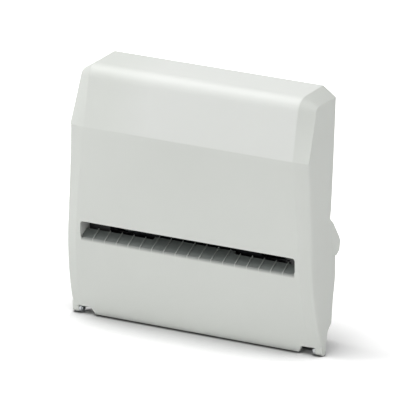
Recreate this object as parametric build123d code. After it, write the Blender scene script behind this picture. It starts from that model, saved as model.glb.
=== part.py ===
"""Slim upright label printer: a hinged front cover over a thermal transfer print mechanism.

Millimetres.  X runs to the right seen from the front, Z up, and the front faces -Y.  The origin is
the middle of the footprint on the table.  Most profiles are drawn as (depth, height), where depth
is measured back from the frontmost point of the cover.
"""
from build123d import *
from math import acos, atan, cos, hypot, pi, radians, sin, sqrt, tan
import os

os.makedirs("parts", exist_ok=True)

# Overall
DEPTH = 60.0            # front bulge of the cover to the outside of the back housing
SKIRT_HALF = 121.0      # half width of the cover at the table
COVER_TOP = 217.2       # height of the cover's top rear edge
COVER_DEPTH = 47.3      # front bulge to the top rear edge
GAP = 0.3               # air between faces that must not touch
RUN = 0.05              # radial clearance of a shaft in its hole
SEAT = 0.05             # radial clearance of a fixed pin in its hole

# Cover: moulded shell
WALL = 2.5
CREASE_Z = 163.2        # where the leaning forehead starts
CREASE_F = 1.7
CREASE_HALF = SKIRT_HALF - 6.0
TOP_HALF = CREASE_HALF - 2.5
FOREHEAD_CORNER = (11.0, 213.2)     # forehead and top meet here, before rounding
FOREHEAD_R = 13.0
CHAMFER_X = CREASE_HALF - 14.2      # where the forehead's corner facets start
FACET_LOW = 1.2         # facet depth at the crease
FACET_CORNER = (18.9, 205.7)
FACET_R = 6.0
FACET_TOP_DROP = 9.6
BELLY_Z = 84.0          # frontmost line of the face; below it the face curves back
SKIRT_F = 15.3          # depth of the face at the table
BAND_LOW = 10.5         # width of the corner band at the table; it widens up to the facet
BAND_BULGE = 2.0        # how much deeper the band is cut at mid height
EDGE_R = 2.2            # rounding where the band meets the side wall
STIFF_T = 1.6           # stiffening ribs inside the face
STIFF_H = 3.0
STIFF_X = (26.0, 66.0)
STIFF_Z = (96.0, 196.0)
# rear edge of the side walls, top to bottom
SIDE_EDGE = (
    (COVER_DEPTH, COVER_TOP + 2), (COVER_DEPTH, 210.2), (34.2, 118.0), (32.5, 111.5),
    (36.2, 107.2), (41.8, 95.2), (43.1, 91.0), (41.8, 83.7), (38.9, 79.9), (37.7, 62.3),
    (33.2, 43.3), (29.7, 24.9), (24.0, 19.6), (20.6, 8.9), (20.4, -2.0),
)
EAR_TOP = 3             # the ear runs between these corners of the rear edge
EAR_LOW = 8
EAR_BEND_F = 34.0       # the ears bend outward behind this depth
EAR_END_F = 43.6
EAR_FLARE = 2.6

# Label slot in the cover
SLOT_HALF = SKIRT_HALF - 17.3
SLOT_LOW = 70.2
SLOT_HIGH = 83.4
SLOT_R = 2.5
LIP_R = 1.9             # rounding of the slot's lower front edge
RAMP_REAR = (12.9, 76.73)
CHEEK_F = 14.2          # rear edge of the cheeks at the slot's ends
RAMP_STEP = 3.0         # the outer thirds of the ramp end this much further forward
RAMP_MID_HALF = 39.0
RAMP_THICK = 2.2
RAMP_HOOK = 4.0         # how far the chute hooks down behind the slot's lower edge
RIB_COUNT = 17
RIB_PITCH = 2 * SLOT_HALF / (RIB_COUNT + 1.1)
RIB_WIDTH = 0.8
RIB_PROUD = 0.7
RIB_RUNOUT = 10.0       # how far the ribs run down the face before they fade

# Bottom edge, tabs and hinge
TAB_OUT = SKIRT_HALF - 0.2
TAB_T = 6.0
NOTCH_OUT = TAB_OUT - TAB_T
NOTCH_IN_HIGH = NOTCH_OUT - 12.8
NOTCH_IN_LOW = NOTCH_IN_HIGH - 3.6
NOTCH_H = 7.0
SKIRT_Z = 0.9           # lower edge of the cover between the notches
HINGE_F = 17.3
HINGE_Z = 3.5
TAB_R = 3.2
HINGE_PIN_R = 1.2
HINGE_PIN_END = TAB_OUT - 1.4
LUG_T = 2.0
LUG_R = 3.1
PIN_HEAD_R = 2.2
PIN_HEAD_T = 1.0
ARM_FRONT = (29.0, 25.5, 23.0)      # front edge of the hinge arm, from the floor out to its lug
ARM_REAR = (26.0, 36.5)             # rear edge of the hinge arm, from its lug in to the floor

# Chassis
SHEET = 2.0
FOOT_H = 3.0
FOOT_R = 5.0
FOOT_X = 74.0
FOOT_F = (25.5, 52.0)
BACK_T = 2.5
BACK_HALF = SKIRT_HALF - 26.0
BACK_R = 4.0            # rear corners of the housing
BACK_TOP = 205.0
FLANGE_HALF = BACK_HALF + 12.0
FLANGE_F = 42.0         # front face of the housing's side flanges
FLANGE_LOW = 62.0
PLATE_X = BACK_HALF - 11.0          # inner face of the side plates
PLATE_FRONT = 16.5
PLATE_TOP = BACK_TOP - BACK_T - GAP
BOLT_X = PLATE_X - 8.0  # mounting holes in the back housing
BOLT_LOW = 58.0
BOLT_HIGH = 178.0
BOLT_R = 2.25

VENT_COUNT = 9
VENT_LOW = 110.0
VENT_PITCH = 6.0
VENT_PITCH_X = 30.0
VENT_LENGTH = 24.0
VENT_H = 2.4
BRACE_W = 8.0

# Platen and head
PLATEN_F = 26.0
PLATEN_Z = 76.0
PLATEN_R = 8.0
PLATEN_HALF = PLATE_X - 26.0
SHAFT_R = 3.0
SHAFT_END = 2.0         # how far the fixed and spool shafts stand out of the side plates
SHAFT_CHAMFER = 0.4
BUSH_R = 5.0
BUSH_FLANGE_R = 7.0
BUSH_FLANGE_T = 1.5
HEAD_HALF = PLATE_X - 22.0
HEAD_PIVOT = (DEPTH - 10.0, 99.0)
BRACKET_LOW = HEAD_PIVOT[1] - 5.0   # under side of the head carrier
BRACKET_T = 1.5
PIVOT_R = 2.5
LEVER_F = 30.0
LEVER_Z = 109.0
LEVER_R = 3.0
LEVER_X = BACK_HALF + 1.0           # inner face of the finger lever
LEVER_REACH = 20.0
LEVER_T = 3.0
LEVER_HUB_R = 6.0
LEVER_KNOB_R = 3.5
LEVER_KNOB_W = 7.0
LEVER_REST = 20.0       # the closed lever leans back by this angle
CAM_X = HEAD_HALF - 20.0
CAM_LIFT = 6.0
CAM_R = 3.2
CAM_T = 6.0
SPRING_T = 0.8

# Ribbon
SUPPLY = (32.0, 182.0)
TAKEUP = (33.0, 140.0)
SPINDLE_R = 4.0
CORE_R = 8.5
SUPPLY_R = 16.5
TAKEUP_R = 11.0
CORE_HALF = PLATE_X - 24.0
COLLAR_W = 6.0          # driving collar at each end of a core
COLLAR = 2.0            # how far it stands out beyond the core
RIBBON_HALF = CORE_HALF - 5.0

ROD_R = 1.0             # ribbon guide rod, close in front of the print head
HEAD_SWING = 1.2        # how far the head's nose comes forward as it lifts
ROD = (PLATEN_F - 5.0 - HEAD_SWING - GAP - ROD_R, PLATEN_Z + PLATEN_R + GAP + ROD_R)
SHIELD_T = 1.5          # shield that closes the slot's left end to the light
SHIELD_HALF = SLOT_HALF + 1.4
SHIELD_Z = (66.0, 90.0)
FILM_SLOT_HALF = RIBBON_HALF + 1.5  # the ribbon leaves the head through a slot in the carrier
FILM_SLOT = (PLATEN_F + 12.5, PLATEN_F + 16.0)

# Drive
MODULE = 1.0
PLATEN_TEETH = 24
IDLER_TEETH = 24
PINION_TEETH = 16
GEAR_WIDTH = 4.0
GEAR_X = PLATE_X + 3.0  # inner face of the gears
IDLER_ANGLE = -78.0     # from the platen's axis, in the (depth, height) plane
PINION_ANGLE = -84.0
MOTOR_SIDE = 35.0
MOTOR_LENGTH = 28.0
MOTOR_SHAFT_R = 2.5
MOTOR_BOSS_R = 11.0     # centring boss in the side plate
MOTOR_CORNER = 3.0
AXLE_R = 2.0            # stub the idler turns on
AXLE_HEAD_R = 3.2
PULLEY_X = -PLATE_X - 3.5
PULLEY_W = 4.0
PULLEY_R = 8.0
PULLEY_END = 0.7        # shaft beyond the pulley
RIM = 1.2               # height of a pulley's rims over the belt
RIM_T = 0.8
BELT_T = 1.2
MOTOR_PITCH = 26.0
SCREW_R = 2.6
SCREW_H = 0.7

# Controller board, from its lower left corner: places and sizes of what it carries
BOARD_X = (-PLATE_X + 6.0, -PLATE_X + 104.0)
BOARD_Z = (10.0, 56.0)
BOARD_T = 1.6
POST_LENGTH = 8.0
POST_R = 2.5
POST_EDGE = 4.0
BOARD_PARTS = (
    (48.0, 32.0, 12.0, 12.0, 2.0), (20.0, 34.0, 16.0, 8.0, 1.6), (80.0, 30.0, 9.0, 14.0, 8.0),
    (74.0, 8.0, 14.0, 6.0, 5.0), (34.0, 36.0, 5.0, 6.0, 1.2), (62.0, 36.0, 4.0, 5.0, 1.2),
    (30.0, 12.0, 9.0, 5.0, 1.5), (50.0, 12.0, 7.0, 7.0, 3.0),
)
BOARD_CANS = ((10.0, 22.0), (92.0, 14.0), (92.0, 24.0))
CAN_R = 3.2
CAN_H = 9.0

# Rear sockets and switch
USB_X = BOARD_X[0] + 60.0
POWER_X = BOARD_X[0] + 16.0
ROCKER_X = BOARD_X[0] + 40.0
SOCKET_Z = 24.0
SOCKET_FIT = 0.1        # air round a socket in its hole
SOCKET_LENGTH = 8.0     # how far a socket reaches in front of the housing's wall
USB_HALF = (6.0, 5.5)   # half width and half height
POWER_HALF = (7.0, 5.5)
ROCKER_HALF = (4.5, 7.0)
ROCKER_PIVOT_F = DEPTH - 2.8
ROCKER_PIN_R = 1.0
ROCKER_TIP = 8.0        # the rocker's tilt when it is off

# Cover catch
CATCH_X = (58.0, 80.0)
CATCH_F = (43.0, 46.5)
CATCH_T = 1.2

# Label inlet and guides
INLET_HALF = 60.0
INLET_LOW = 83.5
INLET_HIGH = 91.5
TABLE_Z = 82.6
TABLE_T = 1.5
TABLE_FRONT = 36.0
TABLE_LIP = 8.0
BLADE_T = 0.8           # tear bar
BLADE_H = 9.0
BLADE_FOOT = 14.0
TOOTH_H = 0.9
GUIDE_T = 1.5
GUIDE_H = 7.0           # height of the edge guides over the table
GUIDE_FOOT = 12.0


def y_of(depth):
    """Depth behind the cover's front to the part's own Y."""
    return depth - DEPTH / 2


def block(x0, x1, f0, f1, z0, z1):
    """Box between two corners, given in X, depth and height."""
    size = Box(x1 - x0, f1 - f0, z1 - z0)
    return Pos((x0 + x1) / 2, y_of((f0 + f1) / 2), (z0 + z1) / 2) * size


def rod(centre, radius, x0, x1):
    """Round bar along X through a (depth, height) point."""
    depth, height = centre
    bar = Rot(0, 90, 0) * Cylinder(radius, abs(x1 - x0))
    return Pos((x0 + x1) / 2, y_of(depth), height) * bar


def pin_y(x, z, radius, f0, f1):
    """Round bar along Y between two depths."""
    bar = Rot(90, 0, 0) * Cylinder(radius, f1 - f0)
    return Pos(x, y_of((f0 + f1) / 2), z) * bar


def side_plane(x):
    """Sketch plane across X: its x is Y and its y is Z."""
    return Plane(origin=(x, 0, 0), x_dir=(0, 1, 0), z_dir=(1, 0, 0))


def side_face(points):
    """Flat face from a closed list of (depth, height) points."""
    return make_face(Polyline(*[(y_of(f), z) for f, z in points], close=True))


def prism_x(points, x0, x1):
    """Extrude a (depth, height) outline along X."""
    return extrude(side_plane(x0) * side_face(points), amount=x1 - x0)


def mirrored(shape):
    """The shape and its twin across the middle."""
    return shape + mirror(shape, about=Plane.YZ)


def inset_path(points, inset):
    """Move an open path of straight runs sideways, to its right, and keep its corners."""
    moved = []
    for i, (px, py) in enumerate(points):
        runs = []
        if i > 0:
            runs.append((px - points[i - 1][0], py - points[i - 1][1]))
        if i < len(points) - 1:
            runs.append((points[i + 1][0] - px, points[i + 1][1] - py))
        normals = [(dy / hypot(dx, dy), -dx / hypot(dx, dy)) for dx, dy in runs]
        nx = sum(n[0] for n in normals)
        ny = sum(n[1] for n in normals)
        scale = inset * len(normals) / (nx * nx + ny * ny)
        moved.append((px + nx * scale, py + ny * scale))
    return moved


# The cover

LEAN = atan(CREASE_F / (CREASE_Z - BELLY_Z))
FACE_R = (SKIRT_F ** 2 + BELLY_Z ** 2) / (2 * (SKIRT_F * cos(LEAN) + BELLY_Z * sin(LEAN)))


def face_depth(height, inset=0.0):
    """Depth of the cover's face: straight above the belly line, a tangent arc below it."""
    if height >= BELLY_Z:
        return inset / cos(LEAN) + (height - BELLY_Z) * tan(LEAN)
    middle_z = BELLY_Z - FACE_R * sin(LEAN)
    return FACE_R * cos(LEAN) - sqrt((FACE_R - inset) ** 2 - (height - middle_z) ** 2)


def side_half(height):
    """Half width of the lower cover at one height."""
    return SKIRT_HALF - (SKIRT_HALF - CREASE_HALF) * height / CREASE_Z


def band_line(height, inset):
    """Plan line of the corner band at one height: (X, depth) where it leaves the face, its slope."""
    share = max(height, 0.0) / CREASE_Z
    low_start = SKIRT_HALF - BAND_LOW
    start = low_start - (low_start - CHAMFER_X) * share ** 1.7
    depth = FACET_LOW + BAND_BULGE * sin(pi * share ** 1.2)
    slope = atan(depth / (side_half(height) - start))
    return (start - inset * tan(slope / 2), face_depth(height, inset)), slope


def band_section(height, inset):
    """Plan face in front of the corner band at one height."""
    (start, near), slope = band_line(height, inset)
    reach = SKIRT_HALF - CHAMFER_X + 8
    outline = Polyline(
        (start, y_of(near)), (start + reach, y_of(near + reach * tan(slope))),
        (start + reach, y_of(near - 9)), (start, y_of(near - 9)), close=True,
    )
    return Pos(0, 0, height) * make_face(outline)


def belly(inset):
    """Lower cover: curved face, leaning sides and a shallow band down each corner, shrunk by inset."""
    low = -inset
    rear = y_of(DEPTH + 4)
    top, middle, foot = [(y_of(face_depth(z, inset)), z) for z in (CREASE_Z, BELLY_Z, low)]
    lean = (middle[0] - top[0], middle[1] - top[1])
    face = [Line(top, middle), TangentArc(middle, foot, tangent=lean)]
    rest = Polyline(foot, (rear, low), (rear, CREASE_Z), top)
    profile = side_plane(-SKIRT_HALF - 9) * make_face(face + [rest])
    body = extrude(profile, amount=2 * SKIRT_HALF + 18)
    sides = Polyline((0, low), (side_half(low) - inset, low), (CREASE_HALF - inset, CREASE_Z),
                     (0, CREASE_Z), close=True)
    half = extrude(Plane.XZ * make_face(sides), amount=DEPTH + 20, both=True)
    body = body & mirrored(half)
    steps = 9
    span = CREASE_Z + 5
    cutter = loft([band_section(span * i / steps - 4, inset) for i in range(steps + 1)])
    return body - mirrored(cutter)


def forehead_section(path, radius, x, inset, low):
    """Side outline of the forehead at one X."""
    inner = inset_path(path, inset)
    rounded = max(radius - inset, 1.0)
    low_point, corner, rear_point = [(y_of(f), z) for f, z in inner]
    slope = (corner[0] - low_point[0]) / (corner[1] - low_point[1])
    low_point = (low_point[0] - slope * (low_point[1] - low), low)
    rear = y_of(DEPTH + 4)
    front = FilletPolyline(low_point, corner, rear_point, radius=rounded)
    close = Polyline(rear_point, (rear, rear_point[1]), (rear, low), low_point)
    return side_plane(x) * make_face([front, close])


def forehead(inset):
    """Leaning upper cover with a ruled facet at each end, shrunk by inset."""
    full = ((CREASE_F, CREASE_Z), FOREHEAD_CORNER, (COVER_DEPTH, COVER_TOP))
    facet_top = COVER_TOP - FACET_TOP_DROP
    small = ((CREASE_F + FACET_LOW, CREASE_Z), FACET_CORNER, (COVER_DEPTH, facet_top))
    lean = atan(FACET_TOP_DROP / (CREASE_HALF - CHAMFER_X))
    full_x = CHAMFER_X - inset * tan(lean / 2)
    side_x = CREASE_HALF - inset
    small_inset = inset * (1 / cos(lean) - tan(lean))
    low = CREASE_Z - (0.5 if inset else 0.0)
    middle = forehead_section(full, FOREHEAD_R, full_x, inset, low)
    end = forehead_section(small, FACET_R, side_x, small_inset, low)
    half = extrude(middle, amount=-full_x, dir=(1, 0, 0)) + loft([middle, end], ruled=True)
    taper = (CREASE_HALF - TOP_HALF) / (COVER_TOP - CREASE_Z)
    low_half = CREASE_HALF - inset + taper * (CREASE_Z - low)
    sides = Polyline(
        (0, low), (low_half, low), (TOP_HALF - inset - taper * 4, COVER_TOP + 4),
        (0, COVER_TOP + 4), close=True,
    )
    prism = extrude(Plane.XZ * make_face(sides), amount=DEPTH, both=True)
    return mirrored(half & prism)


def inner_form(inset):
    """Whole cover form, shrunk by inset."""
    return belly(inset) + forehead(inset)


def corner_edges(form):
    """Long edges where the corner bands meet the side walls."""
    return form.edges().filter_by(
        lambda e: e.length > BELLY_Z and abs(e.center().X) > CREASE_HALF - 1
        and e.center().Y < y_of(SKIRT_F) and e.bounding_box().size.Z > BELLY_Z)


def cover_shell():
    """Outer form less inner form, ribbed inside and cut to the side walls' rear edge."""
    low = belly(0)
    outer = fillet(corner_edges(low), EDGE_R) + forehead(0)
    inner = inner_form(WALL)
    edge = [(-5.0, -2.0), (-5.0, COVER_TOP + 2)] + list(SIDE_EDGE)
    kept = prism_x(edge, -SKIRT_HALF - 20, SKIRT_HALF + 20)
    shell = (outer - inner) & kept
    skin = inner_form(WALL - 0.2) - inner_form(WALL + STIFF_H)
    for x in STIFF_X:
        slab = block(x - STIFF_T / 2, x + STIFF_T / 2, -5, COVER_DEPTH / 2, *STIFF_Z)
        shell += mirrored(skin & slab)
    return shell


def ear_section(height):
    """Plan outline of the right ear at one height, bent outward behind the bend line."""
    x0 = side_half(height)
    out = x0 + EAR_FLARE
    outline = Polyline(
        (x0 - WALL, y_of(EAR_BEND_F - 4)), (x0, y_of(EAR_BEND_F - 4)), (x0, y_of(EAR_BEND_F)),
        (out, y_of(EAR_END_F)), (out - WALL, y_of(EAR_END_F)),
        (x0 - WALL, y_of(EAR_BEND_F)), close=True,
    )
    return Pos(0, 0, height) * make_face(outline)


def ear():
    """Right-hand finger ear on the side wall's rear edge."""
    low, high = SIDE_EDGE[EAR_LOW][1], SIDE_EDGE[EAR_TOP][1]
    plate = loft([ear_section(low), ear_section(high)], ruled=True)
    edge = [(0, low), (0, high)] + list(SIDE_EDGE[EAR_TOP:EAR_LOW + 1])
    return plate & prism_x(edge, 0, SKIRT_HALF + 20)


def ramp_plate(rear, half):
    """Chute floor that hooks over the slot's lower edge and rises to its rear edge."""
    lip = (face_depth(SLOT_LOW) + LIP_R, SLOT_LOW)
    under = inset_path([lip, rear], RAMP_THICK)
    hook = face_depth(SLOT_LOW - RAMP_HOOK, WALL) + GAP
    outline = [lip, rear, under[1], (hook + RAMP_THICK, SLOT_LOW - 1.0),
               (hook + RAMP_THICK, SLOT_LOW - RAMP_HOOK), (hook, SLOT_LOW - RAMP_HOOK),
               (hook, SLOT_LOW)]
    return prism_x(outline, -half, half)


def slot_runners():
    """All raised runners of the slot."""
    runners = []
    for i in range(RIB_COUNT):
        x = (i - (RIB_COUNT - 1) / 2) * RIB_PITCH
        runners.append(slot_rib(x, ramp_rear(x)))
    return runners


def slot_chute():
    """Dark insert behind the slot's lip, grooved for the cover's runners."""
    chute = ramp_plate(RAMP_REAR, RAMP_MID_HALF)
    chute += ramp_plate(ramp_rear(SLOT_HALF), SLOT_HALF)
    wall_end = face_depth(SLOT_LOW, WALL) + GAP
    mouth = block(-SLOT_HALF - 1, SLOT_HALF + 1, -1, wall_end, SLOT_LOW, SLOT_HIGH)
    chute -= mouth - slot_opening()
    for runner in slot_runners():
        chute -= runner
    return chute


def slot_rib(x, rear):
    """One raised runner: over the face, the lip and the ramp."""
    face_f = face_depth(SLOT_LOW)
    lip_f = face_depth(SLOT_LOW - LIP_R)
    bend = 0.293 * LIP_R - 0.5 * RIB_PROUD
    fade_f = face_depth(SLOT_LOW - RIB_RUNOUT)
    outline = [
        (fade_f + 0.6, SLOT_LOW - RIB_RUNOUT), (fade_f, SLOT_LOW - RIB_RUNOUT),
        (lip_f - RIB_PROUD * 0.35, SLOT_LOW - LIP_R), (face_f + bend, SLOT_LOW - bend),
        (face_f + LIP_R * 0.8, SLOT_LOW + RIB_PROUD * 0.8),
        (rear[0] - 1.4, rear[1] - 0.2 + RIB_PROUD), (rear[0], rear[1] + RIB_PROUD * 2),
        (rear[0], rear[1] - 1.0), (face_f + LIP_R, SLOT_LOW - 1.0),
    ]
    return prism_x(outline, x - RIB_WIDTH / 2, x + RIB_WIDTH / 2)


def ramp_rear(x):
    """Rear edge of the ramp at one X."""
    if abs(x) <= RAMP_MID_HALF:
        return RAMP_REAR
    run = RAMP_REAR[0] - face_depth(SLOT_LOW)
    drop = RAMP_STEP * (RAMP_REAR[1] - SLOT_LOW) / run
    return (RAMP_REAR[0] - RAMP_STEP, RAMP_REAR[1] - drop)


def lip_rounding():
    """Cutter that rounds the slot's lower front edge."""
    face = y_of(face_depth(SLOT_LOW))
    low = (face, SLOT_LOW - LIP_R)
    middle = (face + 0.293 * LIP_R, SLOT_LOW - 0.293 * LIP_R)
    high = (face + LIP_R, SLOT_LOW)
    front = Polyline(high, (face + LIP_R, SLOT_LOW + 0.1), (face - 3, SLOT_LOW + 0.1),
                     (face - 3, SLOT_LOW - LIP_R), low)
    outline = make_face([ThreePointArc(low, middle, high), front])
    return extrude(side_plane(1 - SLOT_HALF) * outline, amount=2 * SLOT_HALF - 2)


def slot_opening():
    """Cutter for the slot, its corners rounded."""
    height = SLOT_HIGH - SLOT_LOW
    mouth = Plane.XZ * Pos(0, (SLOT_LOW + SLOT_HIGH) / 2) * RectangleRounded(
        SLOT_HALF * 2, height, SLOT_R)
    return Pos(0, y_of(-5), 0) * extrude(mouth, amount=-(WALL + 8))


def hinge_tab():
    """Right-hand tab at the cover's bottom corner, bored for the hinge pin."""
    low = rod((HINGE_F, HINGE_Z), TAB_R, NOTCH_OUT, TAB_OUT)
    neck = block(NOTCH_OUT, TAB_OUT, HINGE_F - TAB_R, HINGE_F + TAB_R, HINGE_Z, NOTCH_H + 3)
    bore_end = HINGE_PIN_END + GAP
    bore = rod((HINGE_F, HINGE_Z), HINGE_PIN_R + RUN, NOTCH_OUT - 1, bore_end)
    return low + neck, bore


def notch():
    """Cutter for the right-hand notch between the skirt and the tab."""
    outline = Polyline(
        (NOTCH_IN_LOW, -2), (NOTCH_IN_LOW, SKIRT_Z), (NOTCH_IN_HIGH, NOTCH_H),
        (NOTCH_OUT, NOTCH_H), (NOTCH_OUT, -2), close=True,
    )
    return extrude(Plane.XZ * make_face(outline), amount=DEPTH, both=True)


def front_cover():
    """Moulded cover with its slot, runners, ears, notches and hinge tabs."""
    shell = cover_shell()
    shell -= block(-NOTCH_IN_LOW - 1, NOTCH_IN_LOW + 1, -5, 40, -3, SKIRT_Z)
    shell -= mirrored(block(NOTCH_OUT - 1, TAB_OUT + 5, -5, 40, -3, HINGE_Z))
    shell -= mirrored(notch())
    shell += mirrored(ear())
    shell -= slot_opening()
    shell -= lip_rounding()
    cheek = prism_x(
        [(face_depth(SLOT_LOW) + 0.8, SLOT_LOW - 3), (0.8, SLOT_HIGH + 2),
         (CHEEK_F, SLOT_HIGH + 2), (CHEEK_F, RAMP_REAR[1] - 5)],
        SLOT_HALF, SLOT_HALF + RAMP_THICK)
    shell += mirrored(cheek)
    for runner in slot_runners():
        shell += runner
    tab, bore = hinge_tab()
    shell += mirrored(tab)
    shell -= mirrored(bore)
    return shell


# Gears

def involute(angle):
    """Involute function of an angle in radians."""
    return tan(angle) - angle


def spur_gear(centre, teeth, x0, width, bore_r, phase_deg, backlash=0.14):
    """Spur gear along X; phase is the direction of one tooth in the (depth, height) plane."""
    pitch_r = MODULE * teeth / 2
    base_r = pitch_r * cos(radians(20))
    tip_r = pitch_r + MODULE * 0.95
    root_r = pitch_r - MODULE * 1.2
    half_pitch = pi / (2 * teeth) - backlash / (2 * pitch_r)
    tip_half = half_pitch + involute(radians(20)) - involute(acos(base_r / tip_r))
    root_half = half_pitch + involute(radians(20)) * 0.9
    flank = ((root_r, -root_half), (pitch_r, -half_pitch), (tip_r, -tip_half),
             (tip_r, tip_half), (pitch_r, half_pitch), (root_r, root_half))
    points = []
    for i in range(teeth):
        middle = radians(phase_deg) + 2 * pi * i / teeth
        for radius, angle in flank:
            at = middle + angle
            points.append((y_of(centre[0]) + radius * cos(at), centre[1] + radius * sin(at)))
    outline = make_face(Polyline(*points, close=True))
    hole = Pos(y_of(centre[0]), centre[1]) * Circle(bore_r)
    return extrude(side_plane(x0) * (outline - hole), amount=width)


def stepped_from(centre, teeth_a, teeth_b, angle_deg):
    """Centre of a gear that meshes with the one at centre, in the given direction."""
    distance = MODULE * (teeth_a + teeth_b) / 2
    angle = radians(angle_deg)
    return (centre[0] + distance * cos(angle), centre[1] + distance * sin(angle))


def mesh_phase(phase_a, teeth_a, teeth_b, angle_deg):
    """Phase that puts a gap of gear b on the tooth of gear a along their line of centres."""
    along = (angle_deg - phase_a) * teeth_a / 360.0
    return angle_deg + 180 + (along + 0.5) * 360.0 / teeth_b


PLATEN = (PLATEN_F, PLATEN_Z)
LEVER = (LEVER_F, LEVER_Z)
HINGE = (HINGE_F, HINGE_Z)
IDLER = stepped_from(PLATEN, PLATEN_TEETH, IDLER_TEETH, IDLER_ANGLE)
MOTOR = stepped_from(IDLER, IDLER_TEETH, PINION_TEETH, PINION_ANGLE)
IDLER_PHASE = mesh_phase(0, PLATEN_TEETH, IDLER_TEETH, IDLER_ANGLE)
PINION_PHASE = mesh_phase(IDLER_PHASE, IDLER_TEETH, PINION_TEETH, PINION_ANGLE)
PLATE_OUT = PLATE_X + SHEET
BACK_IN = DEPTH - BACK_T
FLOOR_TOP = FOOT_H + SHEET


# Chassis

def back_housing():
    """Moulded back: a shallow tray with side flanges, label inlet, sockets and fixing holes."""
    step = FLANGE_F + BACK_T
    outline = [
        (-BACK_HALF, y_of(DEPTH)), (BACK_HALF, y_of(DEPTH)), (BACK_HALF, y_of(step)),
        (FLANGE_HALF, y_of(step)), (FLANGE_HALF, y_of(FLANGE_F)),
        (BACK_HALF - BACK_T, y_of(FLANGE_F)), (BACK_HALF - BACK_T, y_of(BACK_IN)),
    ]
    outline += [(-x, y) for x, y in reversed(outline[2:])]
    plan = make_face(Polyline(*outline, close=True))
    rear = plan.vertices().filter_by(lambda v: v.Y > y_of(DEPTH) - 0.1)
    plan = fillet(rear, BACK_R)
    plan = fillet(plan.vertices().filter_by(lambda v: abs(v.Y - y_of(BACK_IN)) < 0.1),
                  BACK_R - BACK_T)
    tray = Pos(0, 0, FOOT_H) * extrude(plan, amount=BACK_TOP - FOOT_H)
    tray -= mirrored(block(BACK_HALF, FLANGE_HALF + 1, FLANGE_F - 1, step + 1, 0, FLANGE_LOW))
    tray += block(-BACK_HALF, BACK_HALF, FLANGE_F, DEPTH, BACK_TOP - BACK_T, BACK_TOP)
    tray -= block(-INLET_HALF, INLET_HALF, BACK_IN - 2, DEPTH + 2, INLET_LOW, INLET_HIGH)
    for x in (-BOLT_X, BOLT_X):
        for z in (BOLT_LOW, BOLT_HIGH):
            tray -= pin_y(x, z, BOLT_R, BACK_IN - 2, DEPTH + 2)
    tray -= block(*USB_HOLE)
    tray -= block(*POWER_HOLE)
    tray -= block(*ROCKER_HOLE)
    for i in range(VENT_COUNT):
        z = VENT_LOW + i * VENT_PITCH
        for x in (-VENT_PITCH_X, 0, VENT_PITCH_X):
            tray -= block(x - VENT_LENGTH / 2, x + VENT_LENGTH / 2, BACK_IN - 2, DEPTH + 2,
                          z, z + VENT_H)
    return tray


def socket_box(x, half, f0, f1, grow):
    """Box round a rear socket."""
    wide, high = half
    return (x - wide - grow, x + wide + grow, f0, f1,
            SOCKET_Z - high - grow, SOCKET_Z + high + grow)


USB_HOLE = socket_box(USB_X, USB_HALF, BACK_IN - 2, DEPTH + 2, SOCKET_FIT)
POWER_HOLE = socket_box(POWER_X, POWER_HALF, BACK_IN - 2, DEPTH + 2, SOCKET_FIT)
ROCKER_HOLE = socket_box(ROCKER_X, ROCKER_HALF, BACK_IN - 2, DEPTH + 2, SOCKET_FIT)


def side_plate():
    """Right-hand sheet steel plate with its bearing holes and a foot flange."""
    rear = BACK_IN
    outline = [
        (PLATE_FRONT + 4, FLOOR_TOP), (PLATE_FRONT, FLOOR_TOP + 25),
        (PLATE_FRONT, PLATE_TOP - 22),
        (PLATE_FRONT + 5, PLATE_TOP), (rear - 4, PLATE_TOP), (rear, PLATE_TOP - 4),
        (rear, FLOOR_TOP),
    ]
    plate = prism_x(outline, PLATE_X, PLATE_OUT)
    flange_f = (FOOT_F[0] - 3, rear)
    plate += block(PLATE_X - 8, PLATE_OUT, flange_f[0], rear, FLOOR_TOP, FLOOR_TOP + SHEET)
    plate -= rod(PLATEN, BUSH_R + SEAT, PLATE_X - 1, PLATE_OUT + 1)
    plate -= rod(LEVER, LEVER_R + RUN, PLATE_X - 1, PLATE_OUT + 1)
    plate -= rod(SUPPLY, SPINDLE_R + RUN, PLATE_X - 1, PLATE_OUT + 1)
    plate -= rod(TAKEUP, SPINDLE_R + RUN, PLATE_X - 1, PLATE_OUT + 1)
    plate -= rod(HEAD_PIVOT, PIVOT_R + SEAT, PLATE_X - 1, PLATE_OUT + 1)
    plate -= rod(ROD, ROD_R + SEAT, PLATE_X - 1, PLATE_OUT + 1)
    window = block(PLATE_X - 1, PLATE_OUT + 1, rear - 12, rear - 4, TAKEUP[1] - 20,
                   SUPPLY[1] - 12)
    return plate - window


def right_side_plate():
    """Drive side: the common plate with the motor and idler holes."""
    plate = side_plate()
    plate -= rod(MOTOR, MOTOR_BOSS_R + SEAT, PLATE_X - 1, PLATE_OUT + 1)
    plate -= rod(IDLER, AXLE_R + SEAT, PLATE_X - 1, PLATE_OUT + 1)
    return plate


def left_side_plate():
    """Free side: the common plate mirrored."""
    return mirror(side_plate(), about=Plane.YZ)


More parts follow.
